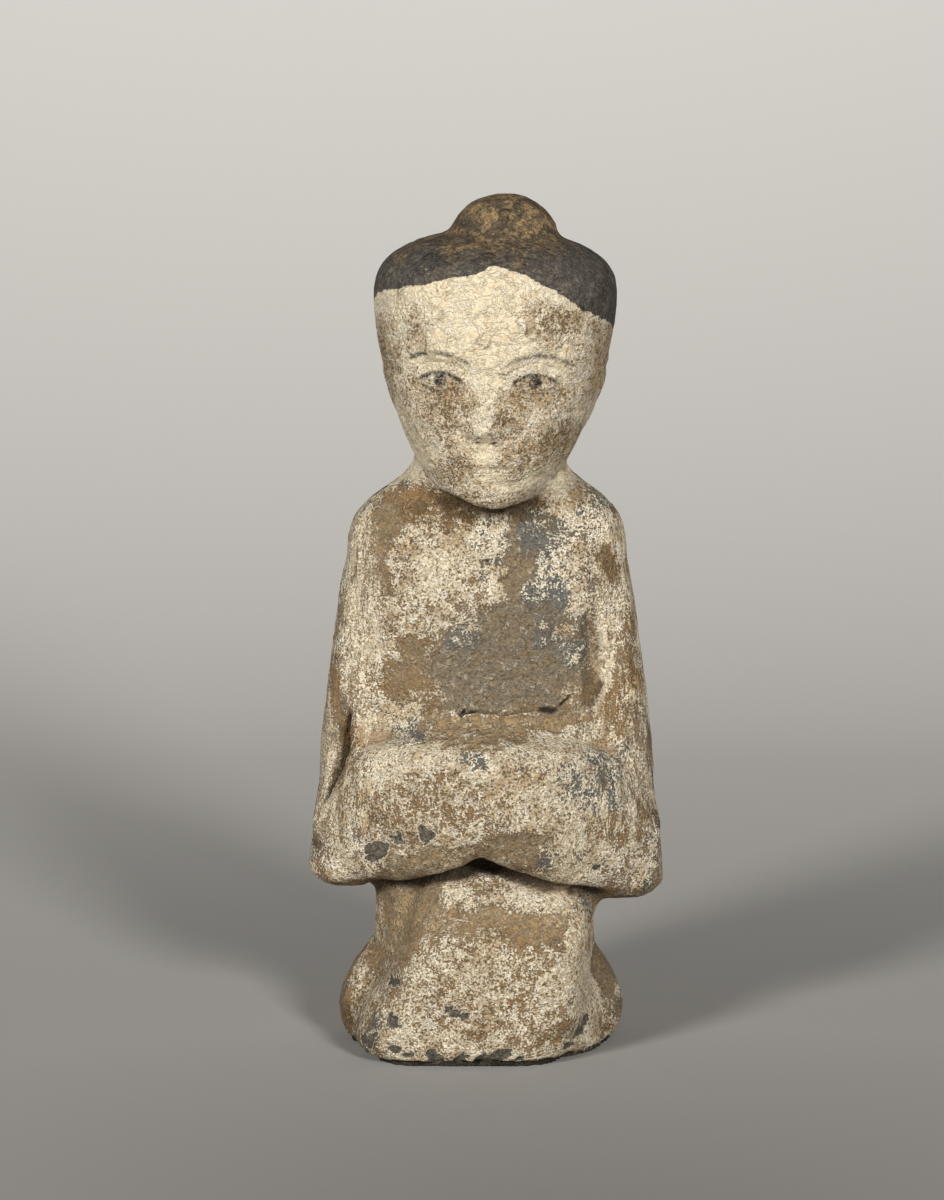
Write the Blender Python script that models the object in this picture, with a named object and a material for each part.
"""A kneeling tomb attendant of moulded grey earthenware, its hands folded in its sleeves.

The figure is one moulded piece. It faces -Y, its own right is at -X, and it stands on Z = 0.
Its masses (robe, knees, heels, arms, sleeves, head and topknot) are lofted or swept on their
own, run together as wet clay is, smoothed by hand and then carved. Every mass is a share of
the driving sizes below, in metres.
"""

import math

import bmesh
import bpy
import numpy as np
from mathutils import Euler, Matrix, Vector

# Driving sizes, in metres
BODY_HEIGHT = 0.1262  # underside to the chin
ELBOW_WIDTH = 0.082  # across both elbows
BODY_DEPTH = 0.062  # knees to heels
HEAD_HEIGHT = 0.062  # chin to crown, without the topknot
HEAD_WIDTH = 0.0545
HEAD_DEPTH = 0.051
TOPKNOT_WIDTH = 0.0215
TOPKNOT_HEIGHT = 0.0072  # above the crown
TOPKNOT_ROOT = 0.0030  # how far it reaches down into the head
TOPKNOT_SIDE_SHIFT = 0.0016
NOSE_LENGTH = 0.0038  # how far the tip stands out
FACE_RELIEF = 0.0014  # how deep the rest of the face is carved
EAR_THICKNESS = 0.0011
FOLD_WIDTH = 0.0018  # of the robe's narrower folds
FOLD_DEPTH = 0.0014
SLIT_DEPTH = 0.0040  # of the opening beside the right elbow
LOW_ELBOW_DROP = 0.0028  # the left elbow, at +X, hangs lower than the right
BASE_SIDE_SHIFT = -0.0012

# How the head is set on the neck
HEAD_SIDE_SHIFT = 0.0010
HEAD_FORWARD_SHIFT = 0.0020
HEAD_BOW = math.radians(4.0)
HEAD_TURN = math.radians(-4.0)
HEAD_LEAN = math.radians(1.5)

# The clay's surface
CLAY_GRAIN = 0.0007  # voxel in which the masses run together
SMOOTHING_PASSES = 19
FLAT_WITHIN = 0.00035  # what lies this near the ground is pressed flat on it
SHARP_EDGE = math.radians(55)
FIGURE_TRIANGLES = 9400
FACE_DETAIL = 0.0008  # how strongly facets are kept on the face
RING_POINTS = 64

BODY = (ELBOW_WIDTH, BODY_DEPTH, BODY_HEIGHT)
HEAD = (HEAD_WIDTH, HEAD_DEPTH, HEAD_HEIGHT)


def through(places, values):
    """A smooth function that passes through the stations and never overshoots them."""
    places = np.asarray(places, float)
    values = np.asarray(values, float)
    steps = np.diff(places)
    slopes = np.diff(values) / steps
    bends = np.zeros(len(places))
    bends[0], bends[-1] = slopes[0], slopes[-1]
    for i in range(1, len(places) - 1):
        before, after = slopes[i - 1], slopes[i]
        if before * after > 0:
            bends[i] = 2 * before * after / (before + after)

    def value(place):
        i = int(np.clip(np.searchsorted(places, place) - 1, 0, len(steps) - 1))
        t = (place - places[i]) / steps[i]
        return (
            values[i] * (1 + 2 * t) * (1 - t) ** 2
            + values[i + 1] * t * t * (3 - 2 * t)
            + steps[i] * (bends[i] * t * (1 - t) ** 2 - bends[i + 1] * t * t * (1 - t))
        )

    return value


def close_rings(bm, rings):
    """Skins a stack of rings and closes both ends with a fan."""
    for low, high in zip(rings, rings[1:]):
        for i in range(len(low)):
            j = (i + 1) % len(low)
            bm.faces.new((low[i], low[j], high[j], high[i]))
    for ring in (rings[0], rings[-1]):
        middle = bm.verts.new(sum((v.co for v in ring), Vector()) / len(ring))
        for i in range(len(ring)):
            bm.faces.new((middle, ring[i], ring[(i + 1) % len(ring)]))


def rounded(angle, squareness):
    """A point of a unit circle, pushed out towards a square as squareness grows past 2."""
    c, s = math.cos(angle), math.sin(angle)
    return (
        math.copysign(abs(c) ** (2 / squareness), c),
        math.copysign(abs(s) ** (2 / squareness), s),
    )


def upright_mass(bm, size, stations, squareness, rings):
    """A closed mass whose level sections follow the stations.

    A station is a level, a half width, the reach to the front, the reach to the back and the
    middle's place across, all as shares of the size (width, depth, height).
    """
    width, depth, height = size
    levels, half_widths, fronts, backs, middles = np.array(stations).T
    levels = levels * height
    half = through(levels, half_widths * width)
    front = through(levels, fronts * depth)
    back = through(levels, backs * depth)
    middle = through(levels, middles * width)
    stack = []
    for z in np.linspace(levels[0], levels[-1], rings):
        ring = []
        for i in range(RING_POINTS):
            x, y = rounded(2 * math.pi * i / RING_POINTS, squareness)
            reach = back(z) if y > 0 else front(z)
            ring.append(bm.verts.new((middle(z) + x * half(z), y * reach, z)))
        stack.append(ring)
    close_rings(bm, stack)


def swept_mass(bm, size, stations, squareness, rings):
    """A closed roll along a path, with upright oval sections and rounded ends.

    A station is the path's x, y and z, then half the roll's height and half its depth. On a
    path that runs upright the half height is taken across instead.
    """
    width, depth, height = size
    xs, ys, zs, talls, deeps = np.array(stations).T
    spots = np.linspace(0, 1, len(stations))
    along = [through(spots, xs * width), through(spots, ys * depth), through(spots, zs * height)]
    tall = through(spots, talls * height)
    deep = through(spots, deeps * depth)
    stack = []
    for i in range(rings):
        turn = math.pi * i / (rings - 1)
        t = (1 - math.cos(turn)) / 2
        centre = Vector([f(t) for f in along])
        before = Vector([f(max(t - 0.01, 0)) for f in along])
        after = Vector([f(min(t + 0.01, 1)) for f in along])
        ahead = (after - before).normalized()
        upright = abs(ahead.z) > 0.8
        side = ahead.cross(Vector((1, 0, 0)) if upright else Vector((0, 0, 1))).normalized()
        up = side.cross(ahead)
        end = max(0.02, min(1.0, math.sin(turn) * 2.6)) ** 0.5
        ring = []
        for k in range(RING_POINTS // 2):
            a, b = rounded(4 * math.pi * k / RING_POINTS, squareness)
            ring.append(bm.verts.new(centre + side * a * deep(t) * end + up * b * tall(t) * end))
        stack.append(ring)
    close_rings(bm, stack)


def robe(bm):
    """The torso, hips and neck: one tall mass from the base to inside the head."""
    stations = [
        (0.00, 0.340, 0.330, 0.460, 0),
        (0.06, 0.345, 0.360, 0.500, 0),
        (0.15, 0.315, 0.340, 0.490, 0),
        (0.235, 0.308, 0.300, 0.430, -0.005),
        (0.258, 0.317, 0.294, 0.415, 0.004),
        (0.29, 0.326, 0.285, 0.400, 0.009),
        (0.34, 0.334, 0.275, 0.390, 0.009),
        (0.38, 0.338, 0.270, 0.385, 0.005),
        (0.545, 0.36, 0.260, 0.370, 0),
        (0.695, 0.38, 0.260, 0.360, 0),
        (0.82, 0.390, 0.255, 0.345, 0),
        (0.91, 0.390, 0.235, 0.320, 0),
        (0.96, 0.375, 0.220, 0.295, 0.002),
        (0.99, 0.348, 0.210, 0.275, 0.005),
        (1.02, 0.294, 0.200, 0.250, 0.007),
        (1.05, 0.230, 0.195, 0.235, 0.006),
        (1.12, 0.170, 0.190, 0.225, 0),
    ]
    upright_mass(bm, BODY, stations, squareness=2.5, rings=60)


def knees(bm):
    """The lap slopes down from the belly to a ridge, then a front panel drops to the ground.

    The panel leans over to the figure's right as it goes down.
    """
    stations = [
        (0.000, 0.262, 0.404, 0.10, -0.046),
        (0.030, 0.308, 0.440, 0.10, -0.058),
        (0.075, 0.316, 0.457, 0.10, -0.038),
        (0.130, 0.296, 0.466, 0.10, -0.006),
        (0.190, 0.273, 0.468, 0.10, 0.021),
        (0.228, 0.264, 0.455, 0.10, 0.034),
        (0.260, 0.258, 0.410, 0.10, 0.040),
        (0.320, 0.234, 0.320, 0.10, 0.032),
        (0.380, 0.180, 0.230, 0.10, 0.008),
        (0.430, 0.140, 0.180, 0.10, 0.008),
    ]
    upright_mass(bm, BODY, stations, squareness=4.6, rings=40)


def heels(bm):
    """The folded legs and feet behind the knees, where the robe spreads on the ground."""
    shift = BASE_SIDE_SHIFT / ELBOW_WIDTH
    stations = [
        (0.000, 0.365, 0.16, 0.50, shift),
        (0.030, 0.392, 0.20, 0.53, shift),
        (0.068, 0.402, 0.22, 0.54, shift),
        (0.110, 0.380, 0.20, 0.53, shift),
        (0.170, 0.322, 0.16, 0.49, shift),
        (0.250, 0.250, 0.10, 0.39, shift),
    ]
    upright_mass(bm, BODY, stations, squareness=2.7, rings=24)


def upper_arm(bm, side):
    """An arm that hangs from the shoulder to the elbow under a full sleeve."""
    drop = LOW_ELBOW_DROP / BODY_HEIGHT if side > 0 else 0.0
    across = ELBOW_WIDTH / BODY_HEIGHT
    stations = [
        (side * 0.265, 0.05, 0.94, 0.090 * across, 0.17),
        (side * 0.295, 0.04, 0.85, 0.108 * across, 0.18),
        (side * 0.325, 0.02, 0.695, 0.112 * across, 0.19),
        (side * 0.353, -0.01, 0.49, 0.120 * across, 0.20),
        (side * 0.370, -0.04, 0.294 - drop, 0.132 * across, 0.20),
    ]
    swept_mass(bm, BODY, stations, squareness=2.6, rings=40)


def sleeves(bm):
    """Both forearms as one roll: low at the elbows, arched up where the hands meet."""
    half = [
        (0.440, -0.030, 0.3865, 0.0785, 0.120),
        (0.360, -0.115, 0.4035, 0.0965, 0.145),
        (0.250, -0.215, 0.4460, 0.1280, 0.160),
        (0.120, -0.300, 0.4740, 0.1210, 0.165),
    ]
    middle = (-0.02, -0.325, 0.489, 0.111, 0.165)
    drop = LOW_ELBOW_DROP / BODY_HEIGHT
    sags = [1.0, 0.9, 0.5, 0.2]
    right = [(-x, y, z, tall, deep) for x, y, z, tall, deep in half]
    left = [(x, y, z - sag * drop, tall, deep) for (x, y, z, tall, deep), sag in zip(half, sags)]
    swept_mass(bm, BODY, right + [middle] + left[::-1], squareness=2.9, rings=60)


def head_frame():
    """Places a point of the head, measured from under the chin on its own axes, on the body."""
    turn = Euler((HEAD_BOW, HEAD_LEAN, HEAD_TURN), "XYZ").to_matrix().to_4x4()
    return Matrix.Translation((HEAD_SIDE_SHIFT, -HEAD_FORWARD_SHIFT, BODY_HEIGHT)) @ turn


def head(bm):
    """An egg with its broad end up, flattened at the crown, on the head's own axes."""
    stations = [
        (0.00, 0.100, 0.320, 0.050, 0),
        (0.03, 0.180, 0.385, 0.120, 0),
        (0.10, 0.265, 0.425, 0.240, 0),
        (0.20, 0.335, 0.445, 0.330, 0),
        (0.35, 0.405, 0.460, 0.420, 0),
        (0.50, 0.458, 0.465, 0.475, 0),
        (0.65, 0.490, 0.470, 0.500, 0),
        (0.78, 0.500, 0.460, 0.485, 0),
        (0.86, 0.472, 0.430, 0.440, 0),
        (0.93, 0.370, 0.345, 0.350, 0),
        (0.97, 0.245, 0.235, 0.240, 0),
        (1.00, 0.090, 0.085, 0.085, 0),
    ]
    upright_mass(bm, HEAD, stations, squareness=2.25, rings=48)


def topknot(bm):
    """The small knob of hair on the crown, rooted a little way inside it."""
    size = (TOPKNOT_WIDTH, TOPKNOT_WIDTH, TOPKNOT_ROOT + TOPKNOT_HEIGHT)
    shift = TOPKNOT_SIDE_SHIFT / TOPKNOT_WIDTH
    stations = [
        (0.00, 0.56, 0.45, 0.70, shift),
        (0.30, 0.55, 0.45, 0.70, shift),
        (0.60, 0.46, 0.38, 0.62, shift),
        (0.82, 0.35, 0.29, 0.50, shift),
        (0.94, 0.24, 0.20, 0.37, shift),
        (1.00, 0.12, 0.10, 0.22, shift),
    ]
    upright_mass(bm, size, stations, squareness=2.2, rings=24)


def clay_mass(build, placed=None):
    """Builds one mass in its own bmesh, so that it can be placed before it joins the rest."""
    bm = bmesh.new()
    build(bm)
    if placed is not None:
        bmesh.ops.transform(bm, matrix=placed, verts=bm.verts)
    bmesh.ops.recalc_face_normals(bm, faces=bm.faces)
    mesh = bpy.data.meshes.new("mass")
    bm.to_mesh(mesh)
    bm.free()
    return mesh


def evaluated_mesh(obj):
    graph = bpy.context.evaluated_depsgraph_get()
    return bpy.data.meshes.new_from_object(obj.evaluated_get(graph))


def run_together(masses):
    """Runs the masses into one skin and smooths the joins, as a thumb does."""
    bm = bmesh.new()
    for mesh in masses:
        bm.from_mesh(mesh)
        bpy.data.meshes.remove(mesh)
    joined = bpy.data.meshes.new("clay")
    bm.to_mesh(joined)
    bm.free()
    clay = bpy.data.objects.new("clay", joined)
    bpy.context.scene.collection.objects.link(clay)
    remesh = clay.modifiers.new("run together", "REMESH")
    remesh.mode = "VOXEL"
    remesh.voxel_size = CLAY_GRAIN
    smooth = clay.modifiers.new("thumbed smooth", "SMOOTH")
    smooth.factor = 0.5
    smooth.iterations = SMOOTHING_PASSES
    skin = evaluated_mesh(clay)
    bpy.data.objects.remove(clay)
    return skin


def mound(x, z, middle_x, middle_z, spread_x, spread_z):
    """1 at the middle, falling away smoothly."""
    return np.exp(-(((x - middle_x) / spread_x) ** 2) - ((z - middle_z) / spread_z) ** 2)


def lens(x, z, middle_x, middle_z, half_x, half_z):
    """A dome with a definite edge: 1 at the middle, 0 from the edge outwards."""
    inside = 1 - ((x - middle_x) / half_x) ** 2 - ((z - middle_z) / half_z) ** 2
    return np.clip(inside, 0, 1) ** 0.7


def step_up(value, start, end):
    t = np.clip((value - start) / (end - start), 0, 1)
    return t * t * (3 - 2 * t)


def face_relief(x, z):
    """How far the face stands forward of the egg, for places on the head's own axes.

    The face is a plain calm one in the usual thirds: hairline to brow, brow to nose and nose
    to chin, with the eyes halfway up the head and five eye widths across it.
    """
    third = 0.28 * HEAD_HEIGHT
    brow = 2 * third
    eyes = 0.485 * HEAD_HEIGHT
    eye = HEAD_WIDTH / 5.2
    mouth = 0.65 * third
    relief = np.zeros_like(x)
    for side in (-1, 1):
        relief -= 1.35 * mound(x, z, side * 0.98 * eye, eyes, 0.68 * eye, 0.31 * third)
        relief += 1.00 * lens(x, z, side * 1.00 * eye, eyes - 0.02 * third, 0.55 * eye, 0.17 * third)
        relief += 0.65 * mound(x, z, side * 1.35 * eye, 0.95 * third, 0.85 * eye, 0.45 * third)
        relief += 0.57 * mound(x, z, side * 1.00 * eye, brow, 0.85 * eye, 0.15 * third)
        relief -= 0.43 * mound(x, z, side * 0.78 * eye, mouth, 0.22 * eye, 0.15 * third)
        relief += 0.85 * mound(x, z, side * 0.36 * eye, 1.13 * third, 0.19 * eye, 0.12 * third)
    relief += 0.85 * mound(x, z, 0, mouth + 0.08 * third, 0.62 * eye, 0.090 * third)
    relief += 1.00 * mound(x, z, 0, mouth - 0.11 * third, 0.50 * eye, 0.105 * third)
    relief += 0.80 * mound(x, z, 0, 0.20 * third, 0.55 * eye, 0.20 * third)
    bridge = np.clip((z - third) / (brow - third), 0, 1)
    foot = third + 0.10 * third * (x / (0.42 * eye)) ** 2
    ridge = step_up(z, foot - 0.09 * third, foot + 0.14 * third) * (1 - step_up(bridge, 0.05, 1.0))
    nose = ridge * np.exp(-((x / ((0.30 - 0.08 * bridge) * eye)) ** 2))
    return FACE_RELIEF * relief + NOSE_LENGTH * nose


def ear_relief(y, z):
    """How far a flat ear stands off the side of the head, from the brow down to the nose."""
    middle = 0.42 * HEAD_HEIGHT
    leaning = y - 0.12 * (z - middle)
    outline = lens(leaning, z, 0.05 * HEAD_DEPTH, middle, 0.082 * HEAD_DEPTH, 0.14 * HEAD_HEIGHT)
    return EAR_THICKNESS * outline


def carve_head(points, normals):
    """Raises the face and the ears on the smoothed egg."""
    frame = np.array(head_frame())
    local = (points - frame[:3, 3]) @ frame[:3, :3]
    x, y, z = local.T
    on_head = step_up(z, 0.0, 0.02 * HEAD_HEIGHT)
    facing = step_up(-y, 0.10 * HEAD_DEPTH, 0.36 * HEAD_DEPTH)
    forward = -frame[:3, 1]
    moved = points + np.outer(face_relief(x, z) * on_head * facing, forward)
    sideways = step_up(np.abs(x), 0.30 * HEAD_WIDTH, 0.36 * HEAD_WIDTH)
    return moved + normals * (ear_relief(y, z) * sideways)[:, None]


def groove(points, normals, start, end, width, depth, facing=-1):
    """How deep a tapering groove cuts at each point that faces the front, or the back with +1.

    The groove's ends are places across and up, as shares of the body.
    """
    scale = np.array((ELBOW_WIDTH, BODY_HEIGHT))
    start = np.array(start) * scale
    run = np.array(end) * scale - start
    flat = points[:, (0, 2)] - start
    t = np.clip(flat @ run / (run @ run), 0, 1)
    away = np.linalg.norm(flat - t[:, None] * run, axis=1)
    taper = np.sin(np.pi * np.clip(t, 0.04, 0.96)) ** 0.5
    seen = step_up(facing * normals[:, 1], 0.0, 0.35)
    return depth * taper * seen * np.exp(-((away / width) ** 2))


def carve_robe(points, normals):
    """The robe's folds: sleeve opening, arm edge, belly crease, hollows by the knees, seat."""
    folds = [
        # start, end, width and depth
        ((-0.393, 0.635), (-0.452, 0.468), FOLD_WIDTH, SLIT_DEPTH),
        ((0.297, 0.820), (0.305, 0.620), 1.2 * FOLD_WIDTH, 0.85 * FOLD_DEPTH),
        ((0.295, 0.680), (0.328, 0.570), FOLD_WIDTH, FOLD_DEPTH),
        ((-0.110, 0.634), (0.205, 0.638), 0.7 * FOLD_WIDTH, 0.65 * FOLD_DEPTH),
        ((-0.300, 0.300), (-0.340, 0.120), 2.5 * FOLD_WIDTH, 1.15 * FOLD_DEPTH),
        ((0.300, 0.220), (0.330, 0.050), 2.2 * FOLD_WIDTH, 0.85 * FOLD_DEPTH),
    ]
    cut = sum(groove(points, normals, *fold) for fold in folds)
    seat = ((-0.300, 0.235), (0.300, 0.235), 2.2 * FOLD_WIDTH, 1.15 * FOLD_DEPTH)
    cut += groove(points, normals, *seat, facing=1)
    x, _, z = points.T
    basin = mound(x, z, 0.037 * ELBOW_WIDTH, 0.69 * BODY_HEIGHT, 0.2 * ELBOW_WIDTH, 0.067 * BODY_HEIGHT)
    cut += 0.57 * FOLD_DEPTH * basin * step_up(-normals[:, 1], 0.3, 0.8)
    return points - normals * cut[:, None]


def carved(skin):
    """Moves the skin's points to carve robe and head."""
    count = len(skin.vertices)
    points = np.empty(count * 3)
    skin.vertices.foreach_get("co", points)
    normals = np.empty(count * 3)
    skin.vertex_normals.foreach_get("vector", normals)
    points = points.reshape(-1, 3)
    normals = normals.reshape(-1, 3)
    points = carve_robe(points, normals)
    points = carve_head(points, normals)
    skin.vertices.foreach_set("co", points.ravel())
    skin.update()
    return skin


def plainness(skin):
    """How much each point may be thinned: fully on the robe, hardly at all on the face."""
    frame = np.array(head_frame())
    points = np.array([v.co for v in skin.vertices])
    x, y, z = ((points - frame[:3, 3]) @ frame[:3, :3]).T
    face = mound(x, z, 0, 0.38 * HEAD_HEIGHT, 0.36 * HEAD_WIDTH, 0.32 * HEAD_HEIGHT)
    return 1 - 0.9 * face * step_up(-y, 0.15 * HEAD_DEPTH, 0.35 * HEAD_DEPTH)


def thinned(skin):
    """Keeps facets where the form turns and drops them where it is plain."""
    triangles = sum(len(p.vertices) - 2 for p in skin.polygons)
    weights = plainness(skin)
    dense = bpy.data.objects.new("dense", skin)
    bpy.context.scene.collection.objects.link(dense)
    plain = dense.vertex_groups.new(name="plain")
    for i, weight in enumerate(weights):
        plain.add([i], float(weight), "REPLACE")
    decimate = dense.modifiers.new("thin out", "DECIMATE")
    decimate.vertex_group = plain.name
    decimate.vertex_group_factor = FACE_DETAIL
    decimate.ratio = min(1.0, FIGURE_TRIANGLES / triangles)
    decimate.use_collapse_triangulate = True
    mesh = evaluated_mesh(dense)
    bpy.data.objects.remove(dense)
    return mesh


def set_down(mesh):
    """Presses the underside flat at Z = 0 and centres the figure over the origin."""
    bm = bmesh.new()
    bm.from_mesh(mesh)
    for v in bm.verts:
        if v.co.z < FLAT_WITHIN:
            v.co.z = 0.0
    xs = [v.co.x for v in bm.verts]
    ys = [v.co.y for v in bm.verts]
    centre = Vector(((min(xs) + max(xs)) / 2, (min(ys) + max(ys)) / 2, 0))
    bmesh.ops.translate(bm, vec=-centre, verts=bm.verts)
    bm.to_mesh(mesh)
    bm.free()
    return mesh


def slipped_earthenware():
    """Grey fired clay under a worn cream slip, stained brown by the soil."""
    material = bpy.data.materials.new("slipped_earthenware")
    material.use_nodes = True
    shader = material.node_tree.nodes["Principled BSDF"]
    shader.inputs["Base Color"].default_value = (0.46, 0.38, 0.27, 1)
    shader.inputs["Roughness"].default_value = 0.92
    shader.inputs["Metallic"].default_value = 0.0
    return material


def tomb_figure():
    """Models the whole figure as one closed piece."""
    placed = head_frame()
    masses = [
        clay_mass(robe),
        clay_mass(knees),
        clay_mass(heels),
        clay_mass(lambda bm: upper_arm(bm, -1)),
        clay_mass(lambda bm: upper_arm(bm, 1)),
        clay_mass(sleeves),
        clay_mass(head, placed),
        clay_mass(topknot, placed @ Matrix.Translation((0, 0, HEAD_HEIGHT - TOPKNOT_ROOT))),
    ]
    mesh = set_down(thinned(carved(run_together(masses))))
    mesh.name = "tomb_figure"
    mesh.materials.clear()
    mesh.materials.append(slipped_earthenware())
    mesh.shade_smooth()
    mesh.set_sharp_from_angle(angle=SHARP_EDGE)
    figure = bpy.data.objects.new("tomb_figure", mesh)
    bpy.context.scene.collection.objects.link(figure)
    return figure


for old in list(bpy.data.objects):
    bpy.data.objects.remove(old)
tomb_figure()
